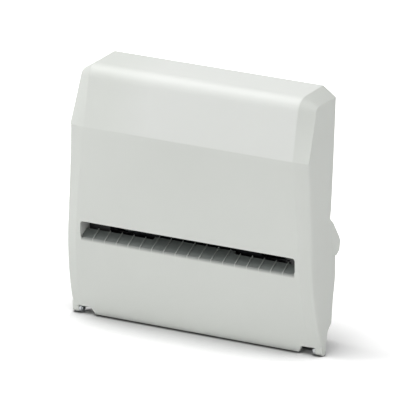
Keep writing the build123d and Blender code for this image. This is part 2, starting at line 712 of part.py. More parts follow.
def base_plate():
    """Floor sheet with an arm out to a bent-down hinge lug at each front corner."""
    wide = BACK_HALF - BACK_T - GAP
    floor = block(-wide, wide, FLANGE_F - GAP, BACK_IN, FOOT_H, FLOOR_TOP)
    floor += block(-PLATE_OUT, PLATE_OUT, FOOT_F[0] - 6, FLANGE_F, FOOT_H, FLOOR_TOP)
    lug_out = NOTCH_OUT - GAP
    lug_in = lug_out - LUG_T
    plan = Polyline(
        (PLATE_OUT - 1, y_of(ARM_FRONT[0])), (lug_in - 4, y_of(ARM_FRONT[1])),
        (lug_in, y_of(ARM_FRONT[2])), (lug_in, y_of(HINGE_F)), (lug_out, y_of(HINGE_F)),
        (lug_out, y_of(ARM_REAR[0])), (wide + 8, y_of(ARM_REAR[1])),
        (wide + 1, y_of(FLANGE_F - GAP)),
        (PLATE_OUT - 1, y_of(FLANGE_F - GAP)), close=True,
    )
    arm = Pos(0, 0, FOOT_H) * extrude(make_face(plan), amount=SHEET)
    lug = block(lug_in, lug_out, HINGE_F - LUG_R, HINGE_F + LUG_R, HINGE_Z, FLOOR_TOP)
    lug += rod(HINGE, LUG_R, lug_in, lug_out)
    floor += mirrored(arm + lug)
    return floor - mirrored(rod(HINGE, HINGE_PIN_R, lug_in - 1, lug_out + 1))


def hinge_pin():
    """Right-hand hinge pin, headed on the inside of its lug."""
    lug_x = NOTCH_OUT - GAP - LUG_T
    head = rod(HINGE, PIN_HEAD_R, lug_x - PIN_HEAD_T, lug_x)
    return head + rod(HINGE, HINGE_PIN_R, lug_x - PIN_HEAD_T, HINGE_PIN_END)


def rubber_feet():
    """Four soft pads under the floor sheet."""
    pads = []
    for x in (-FOOT_X, FOOT_X):
        for f in FOOT_F:
            pad = Pos(x, y_of(f), FOOT_H / 2) * Cylinder(FOOT_R, FOOT_H)
            pads.append(chamfer(pad.edges().group_by(Axis.Z)[0], 0.6))
    return Compound(pads)


def top_brace():
    """Folded bar that ties the side plates together at the top."""
    z1 = PLATE_TOP
    front = BACK_IN - BRACE_W
    bar = block(-PLATE_X, PLATE_X, front, BACK_IN, z1 - SHEET, z1)
    lip = block(-PLATE_X, PLATE_X, front, front + SHEET, z1 - BRACE_W, z1)
    return bar + lip


# Platen

def platen_shaft():
    """Steel shaft through both plates."""
    left = PULLEY_X - PULLEY_W - PULLEY_END
    right = GEAR_X + GEAR_WIDTH + 1.0
    return chamfer(rod(PLATEN, SHAFT_R, left, right).edges(), SHAFT_CHAMFER)


def platen_rubber():
    """Rubber sleeve vulcanised on the shaft."""
    sleeve = rod(PLATEN, PLATEN_R, -PLATEN_HALF, PLATEN_HALF)
    return sleeve - rod(PLATEN, SHAFT_R, -PLATEN_HALF - 1, PLATEN_HALF + 1)


def platen_bush():
    """Right-hand flanged bearing bush."""
    body = rod(PLATEN, BUSH_R, PLATE_X - BUSH_FLANGE_T, PLATE_OUT + 1.0)
    body += rod(PLATEN, BUSH_FLANGE_R, PLATE_X - BUSH_FLANGE_T, PLATE_X)
    return body - rod(PLATEN, SHAFT_R + RUN, PLATE_X - 5, PLATE_OUT + 5)


def pulley(centre, bore_r):
    """Flanged belt wheel on the left side."""
    x1 = PULLEY_X
    x0 = x1 - PULLEY_W
    wheel = rod(centre, PULLEY_R - BELT_T / 2 - GAP, x0, x1)
    wheel += rod(centre, PULLEY_R + RIM, x0, x0 + RIM_T)
    wheel += rod(centre, PULLEY_R + RIM, x1 - RIM_T, x1)
    return wheel - rod(centre, bore_r, x0 - 1, x1 + 1)


def drive_belt():
    """Flat belt round both pulleys."""
    height = TAKEUP[1] - PLATEN[1]
    run = TAKEUP[0] - PLATEN[0]
    length = hypot(run, height)
    outer = SlotCenterToCenter(length, 2 * (PULLEY_R + BELT_T / 2))
    inner = SlotCenterToCenter(length, 2 * (PULLEY_R - BELT_T / 2))
    turned = Rot(0, 0, 90 - atan(run / height) * 180 / pi) * (outer - inner)
    middle = (y_of((TAKEUP[0] + PLATEN[0]) / 2), (TAKEUP[1] + PLATEN[1]) / 2)
    x0 = PULLEY_X - PULLEY_W + RIM_T + GAP
    x1 = PULLEY_X - RIM_T - GAP
    return extrude(side_plane(x0) * Pos(*middle) * turned, amount=x1 - x0)


# Ribbon spools

def spindle(centre, left):
    """Spool shaft across both plates with a driving collar at each end of the core."""
    shaft = rod(centre, SPINDLE_R, left, PLATE_OUT + SHAFT_END)
    for x in (-CORE_HALF - COLLAR_W, CORE_HALF + GAP):
        shaft += rod(centre, CORE_R + COLLAR, x, x + COLLAR_W - GAP)
    return shaft


def core(centre):
    """Card tube the ribbon is wound on."""
    tube = rod(centre, CORE_R, -CORE_HALF, CORE_HALF)
    return tube - rod(centre, SPINDLE_R, -CORE_HALF - 1, CORE_HALF + 1)


def wound_ribbon(centre, radius):
    """Wound transfer ribbon on its core."""
    roll = rod(centre, radius, -RIBBON_HALF, RIBBON_HALF)
    return roll - rod(centre, CORE_R, -RIBBON_HALF - 1, RIBBON_HALF + 1)


# Head

def head_bracket():
    """Folded steel carrier that swings on the pivot shaft."""
    z0 = BRACKET_LOW
    roof = block(-HEAD_HALF, HEAD_HALF, PLATEN_F - 6, HEAD_PIVOT[0] - 5, z0, z0 + BRACKET_T)
    cheek = prism_x(
        [(PLATEN_F - 6, z0), (HEAD_PIVOT[0] - 5, z0), (HEAD_PIVOT[0] + 4, z0 + 1),
         (HEAD_PIVOT[0] + 4, z0 + 9), (HEAD_PIVOT[0] - 4, z0 + 9), (PLATEN_F - 6, z0 + 4)],
        HEAD_HALF - BRACKET_T, HEAD_HALF)
    roof -= block(-FILM_SLOT_HALF, FILM_SLOT_HALF, *FILM_SLOT, z0 - 1, z0 + BRACKET_T + 1)
    bracket = roof + mirrored(cheek)
    return bracket - rod(HEAD_PIVOT, PIVOT_R + RUN, -HEAD_HALF - 1, HEAD_HALF + 1)


def ribbon_rod():
    """Fixed rod that turns the ribbon in under the print head."""
    return rod(ROD, ROD_R, -PLATE_OUT, PLATE_OUT)


def light_shield():
    """Black strip on the left plate's front edge, behind the end of the slot."""
    return block(-SHIELD_HALF, -PLATE_X, PLATE_FRONT - SHIELD_T, PLATE_FRONT, *SHIELD_Z)


def print_head():
    """Thermal head: aluminium body with the ceramic strip over the platen."""
    top = BRACKET_LOW
    nip = PLATEN_Z + PLATEN_R + GAP
    return prism_x(
        [(PLATEN_F - 5, top), (PLATEN_F + 12, top), (PLATEN_F + 12, nip + 4.0),
         (PLATEN_F + 4, nip), (PLATEN_F - 5, nip)],
        -HEAD_HALF + 2, HEAD_HALF - 2)


def pressure_springs():
    """Two leaf springs on the carrier under the cams."""
    z0 = BRACKET_LOW + BRACKET_T
    z1 = z0 + SPRING_T
    top = LEVER_Z - CAM_LIFT - CAM_R - 2 * GAP
    leaves = []
    for x in (-CAM_X, CAM_X):
        outline = [
            (LEVER_F - 9, z0), (LEVER_F - 4, z0), (LEVER_F - 2, top - SPRING_T),
            (LEVER_F + 2, top - SPRING_T), (LEVER_F + 4, z0), (LEVER_F + 8, z0),
            (LEVER_F + 8, z1), (LEVER_F + 4.6, z1), (LEVER_F + 2.4, top),
            (LEVER_F - 2.4, top), (LEVER_F - 4.6, z1), (LEVER_F - 9, z1),
        ]
        leaves.append(prism_x(outline, x - CAM_T, x + CAM_T))
    return Compound(leaves)


def head_pivot_shaft():
    """Fixed rod the head carrier swings on."""
    pivot = rod(HEAD_PIVOT, PIVOT_R, -PLATE_OUT - SHAFT_END, PLATE_OUT + SHAFT_END)
    return chamfer(pivot.edges(), SHAFT_CHAMFER)


def head_lever():
    """Release shaft with two cams and a finger lever at the right."""
    shaft = rod(LEVER, LEVER_R, -PLATE_OUT - SHAFT_END, LEVER_X)
    for x in (-CAM_X, CAM_X):
        lobe = (LEVER_F, LEVER_Z - CAM_LIFT)
        cam = rod(lobe, CAM_R, x - CAM_T / 2, x + CAM_T / 2)
        cam += rod(LEVER, LEVER_R + 2.0, x - CAM_T / 2, x + CAM_T / 2)
        web = block(x - CAM_T / 2, x + CAM_T / 2, LEVER_F - CAM_R, LEVER_F + CAM_R,
                    LEVER_Z - CAM_LIFT, LEVER_Z)
        shaft += cam + web
    arm = prism_x(
        [(LEVER_F - 4, LEVER_Z - 4), (LEVER_F + 4, LEVER_Z - 4),
         (LEVER_F + 2.5, LEVER_Z + LEVER_REACH), (LEVER_F - 2.5, LEVER_Z + LEVER_REACH)],
        LEVER_X, LEVER_X + LEVER_T)
    arm += rod(LEVER, LEVER_HUB_R, LEVER_X - 1, LEVER_X + LEVER_T)
    arm += rod((LEVER_F, LEVER_Z + LEVER_REACH), LEVER_KNOB_R, LEVER_X, LEVER_X + LEVER_KNOB_W)
    axle = Axis((0, y_of(LEVER_F), LEVER_Z), (1, 0, 0))
    return shaft + arm.rotate(axle, -LEVER_REST)


# Label path

def tear_bar():
    """Serrated steel blade in front of the nip."""
    top = PLATEN_Z + PLATEN_R - 1.0
    f0 = PLATE_FRONT + 0.2
    blade = block(-HEAD_HALF, HEAD_HALF, f0, f0 + BLADE_T, top - BLADE_H, top)
    teeth = round(HEAD_HALF)
    pitch = 2 * HEAD_HALF / teeth
    cut = []
    for i in range(teeth):
        x = -HEAD_HALF + (i + 0.5) * pitch
        gap = Polyline((x - pitch / 2, top + 0.1), (x, top - TOOTH_H), (x + pitch / 2, top + 0.1),
                       close=True)
        cut.append(make_face(gap))
    for face in cut:
        blade -= Pos(0, y_of(f0 - 1), 0) * extrude(Plane.XZ * face, amount=-3)
    foot = block(-PLATE_X, PLATE_X, f0, f0 + BLADE_T, top - BLADE_FOOT, top - BLADE_H + 1)
    return blade + foot


def label_table():
    """Sheet steel table that carries the label web from the inlet to the nip."""
    table = block(-PLATE_X, PLATE_X, TABLE_FRONT, BACK_IN, TABLE_Z - TABLE_T, TABLE_Z)
    lip = block(-PLATE_X, PLATE_X, TABLE_FRONT, TABLE_FRONT + TABLE_T, TABLE_Z - TABLE_LIP,
                TABLE_Z)
    return table + lip


def edge_guide():
    """Right-hand label edge guide standing on the table."""
    x = HEAD_HALF - 6.0
    low = TABLE_Z + GAP
    fence = block(x, x + GUIDE_T, TABLE_FRONT + 3, BACK_IN - 4, low, TABLE_Z + GUIDE_H)
    foot = block(x, x + GUIDE_FOOT, TABLE_FRONT + 5, BACK_IN - 6, low, low + GUIDE_T)
    return fence + foot


# Drive and electronics

def stepper_motor():
    """Square stepper motor bolted inside the right-hand plate."""
    half = MOTOR_SIDE / 2
    x0 = PLATE_X - MOTOR_LENGTH
    f, z = MOTOR
    body = block(x0, PLATE_X, f - half, f + half, z - half, z + half)
    body = chamfer(body.edges().filter_by(Axis.X), MOTOR_CORNER)
    body += rod(MOTOR, MOTOR_BOSS_R, PLATE_X - 1, PLATE_OUT)
    return body - rod(MOTOR, MOTOR_SHAFT_R + RUN, PLATE_X - 6, PLATE_OUT + 1)


def motor_pinion():
    """Motor shaft with its pinion."""
    gear = spur_gear(MOTOR, PINION_TEETH, GEAR_X, GEAR_WIDTH, MOTOR_SHAFT_R, PINION_PHASE)
    shaft = rod(MOTOR, MOTOR_SHAFT_R, PLATE_X - 5, GEAR_X + GEAR_WIDTH + 1)
    return gear + shaft


def idler_axle():
    """Fixed stub the idler gear turns on."""
    stub = rod(IDLER, AXLE_R, PLATE_X - 1, GEAR_X + GEAR_WIDTH + 1.0)
    return stub + rod(IDLER, AXLE_HEAD_R, GEAR_X + GEAR_WIDTH + GAP, GEAR_X + GEAR_WIDTH + 1.0)


def controller_board():
    """Circuit board on four posts behind the sockets."""
    f1 = BACK_IN - POST_LENGTH
    face = f1 - BOARD_T
    board = block(BOARD_X[0], BOARD_X[1], face, f1, BOARD_Z[0], BOARD_Z[1])
    for dx, dz, w, h, t in BOARD_PARTS:
        x, z = BOARD_X[0] + dx, BOARD_Z[0] + dz
        board += block(x - w / 2, x + w / 2, face - t, face, z - h / 2, z + h / 2)
    for dx, dz in BOARD_CANS:
        x, z = BOARD_X[0] + dx, BOARD_Z[0] + dz
        board += pin_y(x, z, CAN_R, face - CAN_H, face)
    return board


def board_posts():
    """Four posts between the back housing and the board."""
    posts = []
    for x in (BOARD_X[0] + POST_EDGE, BOARD_X[1] - POST_EDGE):
        for z in (BOARD_Z[0] + POST_EDGE, BOARD_Z[1] - POST_EDGE):
            posts.append(pin_y(x, z, POST_R, BACK_IN - POST_LENGTH, BACK_IN))
    return Compound(posts)


def usb_port():
    """Square data socket, open to the rear."""
    shell = block(*socket_box(USB_X, USB_HALF, BACK_IN - SOCKET_LENGTH, DEPTH - 0.5, 0))
    return shell - block(*socket_box(USB_X, USB_HALF, BACK_IN - 4, DEPTH + 1, -1.2))


def power_inlet():
    """Round low-voltage inlet with its centre pin."""
    shell = block(*socket_box(POWER_X, POWER_HALF, BACK_IN - SOCKET_LENGTH, DEPTH - 0.5, 0))
    shell -= pin_y(POWER_X, SOCKET_Z, 3.4, BACK_IN - 5, DEPTH + 1)
    return shell + pin_y(POWER_X, SOCKET_Z, 1.0, BACK_IN - 6, DEPTH - 1)


def power_rocker():
    """Rocker of the power switch, tipped to off."""
    wide, high = ROCKER_HALF
    wide -= 1.0 + GAP
    face = DEPTH - 1.0
    outline = [(face - 2.6, -2.0), (face - 2.6, 2.0), (face - 1.2, high - 1.8),
               (face + 0.2, high - 1.8), (face - 0.4, 0.0), (face + 0.2, 1.8 - high),
               (face - 1.2, 1.8 - high)]
    rocker = prism_x([(f, SOCKET_Z + z) for f, z in outline], ROCKER_X - wide, ROCKER_X + wide)
    pin_end = ROCKER_HALF[0] - GAP
    rocker += rod((ROCKER_PIVOT_F, SOCKET_Z), ROCKER_PIN_R, ROCKER_X - pin_end, ROCKER_X + pin_end)
    return rocker.rotate(Axis((0, y_of(ROCKER_PIVOT_F), SOCKET_Z), (1, 0, 0)), ROCKER_TIP)


def cover_roof(inset, f0, f1):
    """Two points on the cover's top, shrunk by inset, at two depths."""
    path = ((CREASE_F, CREASE_Z), FOREHEAD_CORNER, (COVER_DEPTH, COVER_TOP))
    (_, _), (ca, cb), (ra, rb) = inset_path(path, inset)
    slope = (rb - cb) / (ra - ca)
    return [(f0, cb + slope * (f0 - ca)), (f1, cb + slope * (f1 - ca))]


def catch_plates():
    """Two steel strikers under the cover's top."""
    top = cover_roof(WALL, *CATCH_F)
    low = cover_roof(WALL + CATCH_T, *CATCH_F)
    plate = prism_x(top + low[::-1], CATCH_X[0], CATCH_X[1])
    return mirrored(plate)


def catch_magnets():
    """Two magnets on the housing's top that hold the cover shut."""
    top = cover_roof(WALL + CATCH_T + GAP, *CATCH_F)
    magnet = prism_x(top + [(CATCH_F[1], BACK_TOP), (CATCH_F[0], BACK_TOP)],
                     CATCH_X[0] + 2, CATCH_X[1] - 2)
    return mirrored(magnet)


def motor_screws():
    """Four flat-headed screws through the right plate into the motor."""
    screws = []
    for df in (-MOTOR_PITCH / 2, MOTOR_PITCH / 2):
        for dz in (-MOTOR_PITCH / 2, MOTOR_PITCH / 2):
            at = (MOTOR[0] + df, MOTOR[1] + dz)
            screws.append(rod(at, SCREW_R, PLATE_OUT, PLATE_OUT + SCREW_H))
    return Compound(screws)


def rocker_frame():
    """Frame of the power switch."""
    frame = block(*socket_box(ROCKER_X, ROCKER_HALF, BACK_IN - 6, DEPTH - 0.2, 0))
    frame -= block(*socket_box(ROCKER_X, ROCKER_HALF, BACK_IN - 4, DEPTH + 1, -1.0))
    wide = ROCKER_HALF[0] + 1
    return frame - rod((ROCKER_PIVOT_F, SOCKET_Z), ROCKER_PIN_R + RUN, ROCKER_X - wide,
                       ROCKER_X + wide)


PIECES = {
    "front_cover": front_cover(),
    "slot_chute": slot_chute(),
    "back_housing": back_housing(),
    "left_side_plate": left_side_plate(),
    "right_side_plate": right_side_plate(),
    "base_plate": base_plate(),
    "top_brace": top_brace(),
    "rubber_feet": rubber_feet(),
    "hinge_pins": mirrored(hinge_pin()),
    "platen_shaft": platen_shaft(),
    "platen_rubber": platen_rubber(),
    "platen_bushes": mirrored(platen_bush()),
    "platen_gear": spur_gear(PLATEN, PLATEN_TEETH, GEAR_X, GEAR_WIDTH, SHAFT_R, 0),
    "platen_pulley": pulley(PLATEN, SHAFT_R),
    "drive_belt": drive_belt(),
    "takeup_pulley": pulley(TAKEUP, SPINDLE_R),
    "takeup_spindle": spindle(TAKEUP, PULLEY_X - PULLEY_W - PULLEY_END),
    "takeup_core": core(TAKEUP),
    "takeup_ribbon": wound_ribbon(TAKEUP, TAKEUP_R),
    "supply_spindle": spindle(SUPPLY, -PLATE_OUT - SHAFT_END),
    "supply_core": core(SUPPLY),
    "supply_ribbon": wound_ribbon(SUPPLY, SUPPLY_R),
    "head_bracket": head_bracket(),
    "ribbon_rod": ribbon_rod(),
    "light_shield": light_shield(),
    "print_head": print_head(),
    "pressure_springs": pressure_springs(),
    "head_pivot_shaft": head_pivot_shaft(),
    "head_lever": head_lever(),
    "tear_bar": tear_bar(),
    "label_table": label_table(),
    "right_edge_guide": edge_guide(),
    "left_edge_guide": mirror(edge_guide(), about=Plane.YZ),
    "stepper_motor": stepper_motor(),
    "motor_pinion": motor_pinion(),
    "idler_gear": spur_gear(IDLER, IDLER_TEETH, GEAR_X, GEAR_WIDTH, AXLE_R + RUN, IDLER_PHASE),
    "idler_axle": idler_axle(),
    "controller_board": controller_board(),
    "board_posts": board_posts(),
    "usb_port": usb_port(),
    "power_inlet": power_inlet(),
    "rocker_frame": rocker_frame(),
    "power_rocker": power_rocker(),
    "catch_plates": catch_plates(),
    "catch_magnets": catch_magnets(),
    "motor_screws": motor_screws(),
}

for name, shape in PIECES.items():
    export_step(shape, "parts/" + name + ".step")
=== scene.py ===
"""Slim upright thermal transfer label printer with a hinged front cover.

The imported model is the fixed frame. The sections follow the object as it is put together:
base, sheet metal, housing, board, drive, platen, print head, ribbon, label path and cover,
and then the studio. Lengths are metres, X to the right, Y to the back and Z up.
"""
import math

import bmesh
import bpy
import numpy as np
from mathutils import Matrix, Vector


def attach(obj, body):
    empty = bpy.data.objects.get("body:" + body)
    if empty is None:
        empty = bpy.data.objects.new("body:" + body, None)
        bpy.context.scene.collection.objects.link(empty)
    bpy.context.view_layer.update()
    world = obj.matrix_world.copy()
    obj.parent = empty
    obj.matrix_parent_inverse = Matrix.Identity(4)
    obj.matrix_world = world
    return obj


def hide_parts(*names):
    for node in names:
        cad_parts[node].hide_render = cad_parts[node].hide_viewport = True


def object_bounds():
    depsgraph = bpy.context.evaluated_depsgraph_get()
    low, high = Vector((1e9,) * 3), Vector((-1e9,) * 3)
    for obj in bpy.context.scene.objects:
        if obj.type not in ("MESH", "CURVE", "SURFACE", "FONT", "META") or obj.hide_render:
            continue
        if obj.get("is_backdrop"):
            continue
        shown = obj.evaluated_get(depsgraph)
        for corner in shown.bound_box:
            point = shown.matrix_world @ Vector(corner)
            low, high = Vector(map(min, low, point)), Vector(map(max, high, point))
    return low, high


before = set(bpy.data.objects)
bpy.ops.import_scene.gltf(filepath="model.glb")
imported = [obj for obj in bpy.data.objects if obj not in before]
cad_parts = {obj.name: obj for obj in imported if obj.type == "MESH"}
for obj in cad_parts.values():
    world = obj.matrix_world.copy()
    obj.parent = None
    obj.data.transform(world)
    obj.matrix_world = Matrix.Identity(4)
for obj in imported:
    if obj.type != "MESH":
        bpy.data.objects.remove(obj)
cad_low, cad_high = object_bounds()
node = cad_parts

# Base plate, feet and the catch's steel plates. The base is 2 mm sheet steel, zinc plated
# after it was cut and bent, which leaves it a matt bluish grey; it carries everything else.
# Four round feet of black EPDM rubber are pushed on below it.


def linear(code):
    """An sRGB hex colour as linear RGBA: a channel c gives c/12.92 up to 0.04045, and above
    that ((c + 0.055) / 1.055) ^ 2.4."""
    c = np.array([int(code[i:i + 2], 16) for i in (0, 2, 4)]) / 255.0
    low, high = c / 12.92, ((c + 0.055) / 1.055) ** 2.4
    return (*np.where(c <= 0.04045, low, high).tolist(), 1.0)


def add_node(tree, kind, sockets=None, stops=(), **settings):
    """Adds one shader node. settings are its properties, and each entry of sockets is a value
    or an output to link. stops are a colour ramp's marks: a place from 0 to 1 and a hex colour."""
    new = tree.nodes.new(kind)
    for name, value in settings.items():
        setattr(new, name, value)
    for key, value in (sockets or {}).items():
        socket = new.inputs[key]
        if isinstance(value, bpy.types.NodeSocket):
            tree.links.new(value, socket)
        else:
            socket.default_value = value
    for k, (place, colour) in enumerate(stops):
        marks = new.color_ramp.elements
        mark = marks[k] if k < 2 else marks.new(place)
        mark.position = place
        mark.color = linear(colour)
    return new


def start_material(name, **shader):
    """An empty material with a Principled shader. Returns it, its tree, the shader and the
    Object coordinates."""
    made = bpy.data.materials.new(name)
    made.use_nodes = True
    tree = made.node_tree
    tree.nodes.clear()
    body = add_node(tree, "ShaderNodeBsdfPrincipled", shader)
    add_node(tree, "ShaderNodeOutputMaterial", {"Surface": body.outputs[0]})
    place = add_node(tree, "ShaderNodeTexCoord").outputs["Object"]
    return made, tree, body, place


def finish_surface(tree, body, colour, height, strength, depth, rough, spread):
    """Links a colour to the shader, and gives it its bump and a roughness that varies by spread,
    both from the pattern height, which lies mostly between 0.3 and 0.7."""
    bump = add_node(tree, "ShaderNodeBump", {
        "Height": height, "Strength": strength, "Distance": depth})
    varied = add_node(tree, "ShaderNodeMapRange", {
        "Value": height, "From Min": 0.3, "From Max": 0.7,
        "To Min": rough - spread, "To Max": rough + spread})
    tree.links.new(colour, body.inputs["Base Color"])
    tree.links.new(bump.outputs[0], body.inputs["Normal"])
    tree.links.new(varied.outputs[0], body.inputs["Roughness"])


def dress(material, *names):
    """Gives CAD nodes their material: every slot of the node's mesh takes it."""
    for name in names:
        mesh = node[name].data
        if not mesh.materials:
            mesh.materials.append(material)
        for i in range(len(mesh.materials)):
            node[name].material_slots[i].link = "OBJECT"
            node[name].material_slots[i].material = material


def metal(name, light, dark, rough, grain=(60.0, 1400.0, 1400.0)):
    """Sheet or bar metal: two greys in clouds of 7 mm, and a fine grain, whose scale along X, Y
    and Z is per metre. The real grain is about 0.1 mm; it is drawn at 0.7 mm, so that it shows."""
    made, tree, body, place = start_material(name, Metallic=1.0)
    cloud = add_node(tree, "ShaderNodeTexNoise", {"Vector": place, "Scale": 140.0, "Detail": 4.0})
    grey = add_node(tree, "ShaderNodeValToRGB", {"Fac": cloud.outputs["Fac"]},
                    stops=((0.3, dark), (0.7, light)))
    laid = add_node(tree, "ShaderNodeMapping", {"Vector": place, "Scale": grain})
    lines = add_node(tree, "ShaderNodeTexNoise", {"Vector": laid.outputs[0], "Scale": 1.0})
    finish_surface(tree, body, grey.outputs["Color"], lines.outputs["Fac"], 0.15, 0.00005, rough, 0.07)
    return made


def rubber(name, colour, worn, grain):
    """Vulcanised rubber: near black and dull, with a ground or moulded grain of grain metres that
    greys its high spots."""
    made, tree, body, place = start_material(name, IOR=1.52)
    speck = add_node(tree, "ShaderNodeTexNoise", {"Vector": place, "Scale": 1.0 / grain, "Detail": 3.0})
    black = add_node(tree, "ShaderNodeValToRGB", {"Fac": speck.outputs["Fac"]},
                     stops=((0.35, colour), (0.8, worn)))
    finish_surface(tree, body, black.outputs["Color"], speck.outputs["Fac"], 0.4, grain * 0.1, 0.75, 0.08)
    return made


dress(metal("zinc_plated_steel", "D2D4D5", "C2C5C7", 0.55), "base_plate", "catch_plates")
dress(rubber("epdm_rubber", "161616", "262625", 0.0004), "rubber_feet")

# Side plates, brace, head carrier, label table and light shield. Cut and folded from 1.5 and
# 2 mm sheet steel and powder coated black, so that nothing shines through the label slot.


def powder_coat():
    """Powder coat: deep black with a soft sheen, a little dust and an orange peel of 1.2 mm."""
    peel = 0.0012
    made, tree, body, place = start_material("black_powder_coat", IOR=1.5)
    waves = add_node(tree, "ShaderNodeTexNoise", {"Vector": place, "Scale": 1.0 / peel, "Detail": 1.0})
    dust = add_node(tree, "ShaderNodeTexNoise", {"Vector": place, "Scale": 60.0, "Detail": 5.0})
    black = add_node(tree, "ShaderNodeValToRGB", {"Fac": dust.outputs["Fac"]},
                     stops=((0.4, "131414"), (0.75, "1B1C1C")))
    finish_surface(tree, body, black.outputs["Color"], waves.outputs["Fac"], 0.3, 0.00006, 0.55, 0.05)
    return made


dress(powder_coat(), "left_side_plate", "right_side_plate", "top_brace", "head_bracket",
      "label_table", "light_shield")

# Back housing. Light grey ABS, injection moulded in one piece, with a spark-eroded texture
# that takes the shine off; four pan head screws hold its flanges to the side plates.
SCREW_X, SCREW_Z, FLANGE_REAR = (-0.1015, 0.1015), (0.078, 0.190), 0.0145
SCREW_RADIUS, SCREW_HEIGHT = 0.0028, 0.0018


def moulded_plastic(name, light, dark, rough):
    """Moulded plastic: one even colour, a slight cloud in it and the fine pits of a spark-eroded
    tool. The real pits are about 0.05 mm; they are drawn ten times coarser, so that they show."""
    pits_apart, pit_depth = 0.0005, 0.00002
    made, tree, body, place = start_material(name, IOR=1.53)
    cloud = add_node(tree, "ShaderNodeTexNoise", {"Vector": place, "Scale": 9.0, "Detail": 2.0})
    pits = add_node(tree, "ShaderNodeTexNoise", {"Vector": place, "Scale": 1.0 / pits_apart, "Detail": 2.0})
    shade = add_node(tree, "ShaderNodeValToRGB", {"Fac": cloud.outputs["Fac"]},
                     stops=((0.3, dark), (0.7, light)))
    finish_surface(tree, body, shade.outputs["Color"], pits.outputs["Fac"], 0.35, pit_depth, rough, 0.04)
    return made


def grid_mesh(name, points, wrap):
    """A grid of points (rows, columns, 3) as a mesh of quads, closed over the axes that wrap
    names. Points closer than 1 um become one, so that the poles and end seams are closed."""
    rows, columns = points.shape[:2]
    i = np.arange(rows if wrap[0] else rows - 1)[:, None]
    j = np.arange(columns if wrap[1] else columns - 1)[None, :]
    down, right = (i + 1) % rows, (j + 1) % columns
    quads = [i * columns + j, i * columns + right, down * columns + right, down * columns + j]
    mesh = bpy.data.meshes.new(name)
    mesh.from_pydata(points.reshape(-1, 3).tolist(), [], np.stack(quads, -1).reshape(-1, 4).tolist())
    shell = bmesh.new()
    shell.from_mesh(mesh)
    bmesh.ops.remove_doubles(shell, verts=shell.verts, dist=1e-6)
    shell.to_mesh(mesh)
    shell.free()
    return mesh


def skin(name, points, wrap, body, material, sharp=35.0):
    """A closed grid as one piece that rides on a body. Its normals are turned outwards, and edges
    sharper than sharp degrees stay crisp."""
    mesh = grid_mesh(name, points, wrap)
    shell = bmesh.new()
    shell.from_mesh(mesh)
    bmesh.ops.recalc_face_normals(shell, faces=shell.faces)
    shell.to_mesh(mesh)
    shell.free()
    mesh.shade_smooth()
    mesh.set_sharp_from_angle(angle=math.radians(sharp))
    mesh.materials.append(material)
    made = bpy.data.objects.new(name, mesh)
    bpy.context.scene.collection.objects.link(made)
    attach(made, body)
    return made


def screw_head(x, y, z):
    """A pan head with a hexagon socket: rings round Y, each with a share of the radius, a share of
    the height, and 1 where it is the socket's hexagon r * cos(30) / cos(a mod 60 - 30)."""
    rings = np.array([[0.0, 0.0, 0], [1.0, 0.0, 0], [1.0, 0.45, 0], [0.86, 0.8, 0], [0.62, 1.0, 0],
                      [0.5, 1.0, 1], [0.47, 0.9, 1], [0.47, 0.35, 1], [0.0, 0.3, 1]])
    turn = np.linspace(0, 2 * math.pi, 25)[:-1]
    hexagon = math.cos(math.pi / 6) / np.cos(turn % (math.pi / 3) - math.pi / 6)
    r = SCREW_RADIUS * rings[:, :1] * np.where(rings[:, 2:] > 0, hexagon, 1.0)
    return np.stack([x + r * np.cos(turn), y + SCREW_HEIGHT * rings[:, 1:2] + 0 * r,
                     z + r * np.sin(turn)], -1)


dress(moulded_plastic("abs_light_grey", "D6D9D4", "D2D5D0", 0.5), "back_housing")
ground_steel = metal("ground_steel", "C4C6C8", "B4B7BA", 0.24)
for k, (x, z) in enumerate([(x, z) for x in SCREW_X for z in SCREW_Z]):
    skin(f"housing_screw_{k}", screw_head(x, FLANGE_REAR, z), (False, True), "chassis",
         ground_steel)

# Controller board, sockets and power rocker. The board is glass fibre with green solder mask
# over copper tracks, on four moulded posts; its parts are black epoxy and aluminium cans.
# The posts, inlet, rocker and its frame are black plastic, and the data socket is tinned steel.
BOARD_X0, BOARD_Z0, BOARD_FACE = -0.078, 0.010, 0.0179
# Each chip: x and z of its middle on the board, width, height and thickness, in mm.
CHIPS = np.array([(48, 32, 12, 12, 2.0), (20, 34, 16, 8, 1.6), (80, 30, 9, 14, 8.0),
                  (74, 8, 14, 6, 5.0), (34, 36, 5, 6, 1.2), (62, 36, 4, 5, 1.2),
                  (30, 12, 9, 5, 1.5), (50, 12, 7, 7, 3.0)]) / 1000
CANS = np.array([(10, 22), (92, 14), (92, 24)]) / 1000
CAN_RADIUS, CAN_HEIGHT = 0.00325, 0.0091


def package(x, z, wide, high, thick):
    """A chip or connector: rings round Y on the curve (sign(c) * |c|^0.25, sign(s) * |s|^0.25) with
    c and s the cosine and sine, which is a rounded square. The last but one makes the bevel."""
    turn = np.linspace(0, 2 * math.pi, 17)[:-1] + math.pi / 16
    across, up = (np.sign(wave) * np.abs(wave) ** 0.25 for wave in (np.cos(turn), np.sin(turn)))
    scale = np.array([0.0, 1.02, 1.02, 0.96, 0.0])[:, None]
    depth = np.array([0.0, 0.0, 0.75, 1.02, 1.02])[:, None] * thick
    return np.stack([x + scale * wide / 2 * across, BOARD_FACE - depth + 0 * scale * turn,
                     z + scale * high / 2 * up], -1)


